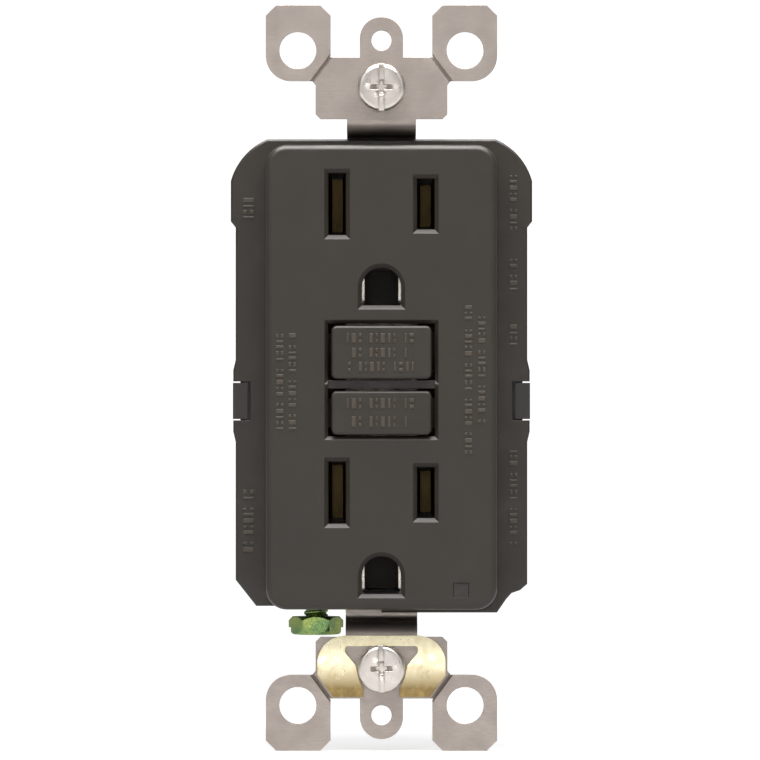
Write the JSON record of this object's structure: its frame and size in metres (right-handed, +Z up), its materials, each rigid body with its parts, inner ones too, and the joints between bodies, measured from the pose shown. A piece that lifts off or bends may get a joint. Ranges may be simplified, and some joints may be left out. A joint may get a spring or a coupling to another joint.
{
  "type": "duplex receptacle",
  "caption": "Decorator-style duplex wall receptacle with ground-fault interrupter, test and reset buttons, side wire terminals and a steel mounting strap.",
  "frame": {"origin": "on the wall plane, on the back of the mounting ears, midway between the two box screws", "axes": "+X right as seen from the front, +Y into the wall, +Z up with each ground pin hole below its blades"},
  "size_m": [0.0432, 0.0358, 0.107],
  "materials": {
    "cover_plastic": "dark charcoal moulded thermoplastic with a fine matt grain",
    "button_plastic": "dark charcoal moulded plastic, slightly smoother than the cover",
    "housing_plastic": "near-black moulded plastic",
    "carrier_plastic": "grey glass-filled plastic",
    "fibre": "pressed fibre",
    "steel": "zinc-plated steel strip, matt",
    "screw_steel": "zinc-plated screw steel",
    "frame_steel": "plated mild steel",
    "spring_steel": "spring wire",
    "brass": "rolled brass strip",
    "silver": "silver alloy contact",
    "green": "green dichromate over zinc",
    "core": "coated wound toroid core",
    "copper": "enamelled copper winding",
    "board": "green solder mask over glass laminate",
    "component": "black epoxy",
    "bobbin": "natural nylon",
    "lens": "smoked clear plastic",
    "lamp": "tinted clear epoxy"
  },
  "bodies": {
    "receptacle": {"front_cover": "cover_plastic", "rear_housing": "housing_plastic", "contact_carrier": "carrier_plastic", "mounting_strap": "steel", "grounding_clip": "brass", "clip_rivets": "brass", "assembly_screws": "screw_steel", "ground_contact_upper": "brass", "ground_contact_lower": "brass", "ground_rivets": "brass", "hot_bus": "brass", "neutral_bus": "brass", "fixed_contacts": "silver", "hot_line_conductor": "brass", "neutral_line_conductor": "brass", "sensor_front_core": "core", "sensor_rear_core": "core", "reset_spring": "spring_steel", "test_spring": "spring_steel", "test_anchor": "brass", "test_contact": "brass", "plunger_spring": "spring_steel", "coil_bobbin": "bobbin", "coil_winding": "copper", "coil_frame": "frame_steel", "circuit_board": "board", "board_parts": "component", "control_chip": "component", "light_pipe": "lens", "indicator_lamp": "lamp", "load_hot_terminal": "brass", "load_neutral_terminal": "brass", "line_hot_terminal": "brass", "line_neutral_terminal": "brass"},
    "reset": {"reset_button": "button_plastic", "reset_pin": "frame_steel"},
    "latch": {"latch_block": "carrier_plastic", "latch_spring": "spring_steel"},
    "slider": {"latch_slider": "frame_steel"},
    "arms": {"hot_contact_arm": "brass", "neutral_contact_arm": "brass", "moving_contacts": "silver"},
    "plunger": {"plunger": "frame_steel"},
    "test": {"test_button": "button_plastic"},
    "test_leaf": {"test_blade": "brass"},
    "top_retainer": {"screw_retainer_top": "fibre"},
    "top_screw": {"mounting_screw_top": "screw_steel"},
    "bottom_retainer": {"screw_retainer_bottom": "fibre"},
    "bottom_screw": {"mounting_screw_bottom": "screw_steel"},
    "ground_screw": {"ground_screw": "green"},
    "load_hot_clamp": {"load_hot_clamp": "screw_steel"},
    "load_hot_screw": {"load_hot_screw": "brass"},
    "load_neutral_clamp": {"load_neutral_clamp": "screw_steel"},
    "load_neutral_screw": {"load_neutral_screw": "screw_steel"},
    "line_hot_clamp": {"line_hot_clamp": "screw_steel"},
    "line_hot_screw": {"line_hot_screw": "brass"},
    "line_neutral_clamp": {"line_neutral_clamp": "screw_steel"},
    "line_neutral_screw": {"line_neutral_screw": "screw_steel"}
  },
  "joints": [
    {"name": "reset_slide", "type": "slide", "parent": "receptacle", "child": "reset", "axis": [0, 1, 0], "range_m": [-0.0022, 0], "deforming": ["reset_spring"]},
    {"name": "latch_lift", "type": "slide", "parent": "receptacle", "child": "latch", "axis": [0, 1, 0], "range_m": [0, 0.0022]},
    {"name": "slider_trip", "type": "slide", "parent": "latch", "child": "slider", "axis": [0, 0, -1], "range_m": [0, 0.0022], "deforming": ["latch_spring"]},
    {"name": "plunger_pull", "type": "slide", "parent": "receptacle", "child": "plunger", "axis": [0, 0, -1], "range_m": [0, 0.00286], "deforming": ["plunger_spring"]},
    {"name": "arms_open", "type": "hinge", "parent": "receptacle", "child": "arms", "pos_m": [0, 0.01865, -0.0095], "axis": [-1, 0, 0], "range_deg": [0, 8.2]},
    {"name": "test_press", "type": "slide", "parent": "receptacle", "child": "test", "axis": [0, 1, 0], "range_m": [0, 0.0015], "stiffness_N_per_m": 400, "springref_m": -0.001, "deforming": ["test_spring"]},
    {"name": "test_leaf_bend", "type": "hinge", "parent": "receptacle", "child": "test_leaf", "pos_m": [-0.00715, 0.0066, -0.005], "axis": [0, 0, 1], "range_deg": [0, 12]},
    {"name": "load_hot_clamp_slide", "type": "slide", "parent": "receptacle", "child": "load_hot_clamp", "axis": [-1, 0, 0], "range_m": [0, 0.00238]},
    {"name": "load_hot_screw_turn", "type": "hinge", "parent": "load_hot_clamp", "child": "load_hot_screw", "pos_m": [0.0178, 0.0166, 0.0165], "axis": [-1, 0, 0], "range_deg": [0, 1080]},
    {"name": "load_neutral_clamp_slide", "type": "slide", "parent": "receptacle", "child": "load_neutral_clamp", "axis": [1, 0, 0], "range_m": [0, 0.00238]},
    {"name": "load_neutral_screw_turn", "type": "hinge", "parent": "load_neutral_clamp", "child": "load_neutral_screw", "pos_m": [-0.0178, 0.0166, 0.0165], "axis": [1, 0, 0], "range_deg": [0, 1080]},
    {"name": "line_hot_clamp_slide", "type": "slide", "parent": "receptacle", "child": "line_hot_clamp", "axis": [-1, 0, 0], "range_m": [0, 0.00238]},
    {"name": "line_hot_screw_turn", "type": "hinge", "parent": "line_hot_clamp", "child": "line_hot_screw", "pos_m": [0.0178, 0.0166, -0.0165], "axis": [-1, 0, 0], "range_deg": [0, 1080]},
    {"name": "line_neutral_clamp_slide", "type": "slide", "parent": "receptacle", "child": "line_neutral_clamp", "axis": [1, 0, 0], "range_m": [0, 0.00238]},
    {"name": "line_neutral_screw_turn", "type": "hinge", "parent": "line_neutral_clamp", "child": "line_neutral_screw", "pos_m": [-0.0178, 0.0166, -0.0165], "axis": [1, 0, 0], "range_deg": [0, 1080]},
    {"name": "top_screw_shift", "type": "slide", "parent": "receptacle", "child": "top_retainer", "axis": [0, 1, 0], "range_m": [-0.0014, 0.0012]},
    {"name": "top_screw_turn", "type": "hinge", "parent": "top_retainer", "child": "top_screw", "pos_m": [0, -0.0025, 0.04167], "axis": [0, 1, 0], "continuous": true},
    {"name": "bottom_screw_shift", "type": "slide", "parent": "receptacle", "child": "bottom_retainer", "axis": [0, 1, 0], "range_m": [-0.0014, 0.0002]},
    {"name": "bottom_screw_turn", "type": "hinge", "parent": "bottom_retainer", "child": "bottom_screw", "pos_m": [0, -0.0025, -0.04167], "axis": [0, 1, 0], "continuous": true},
    {"name": "ground_screw_turn", "type": "hinge", "parent": "receptacle", "child": "ground_screw", "pos_m": [-0.00945, 0.009, -0.0344], "axis": [0, 0, 1], "range_deg": [0, 1080]}
  ],
  "couplings": [
    {"joint": "latch_lift", "follows": "reset_slide", "ratio": -1},
    {"joint": "slider_trip", "follows": "reset_slide", "ratio": -1},
    {"joint": "plunger_pull", "follows": "reset_slide", "ratio": -1.3},
    {"joint": "arms_open", "follows": "reset_slide", "rad_per_m": -64.935},
    {"joint": "test_leaf_bend", "follows": "test_press", "rad_per_m": 138.9},
    {"joint": "load_hot_screw_turn", "follows": "load_hot_clamp_slide", "rad_per_m": 7915.8},
    {"joint": "load_neutral_screw_turn", "follows": "load_neutral_clamp_slide", "rad_per_m": 7915.8},
    {"joint": "line_hot_screw_turn", "follows": "line_hot_clamp_slide", "rad_per_m": 7915.8},
    {"joint": "line_neutral_screw_turn", "follows": "line_neutral_clamp_slide", "rad_per_m": 7915.8}
  ]
}
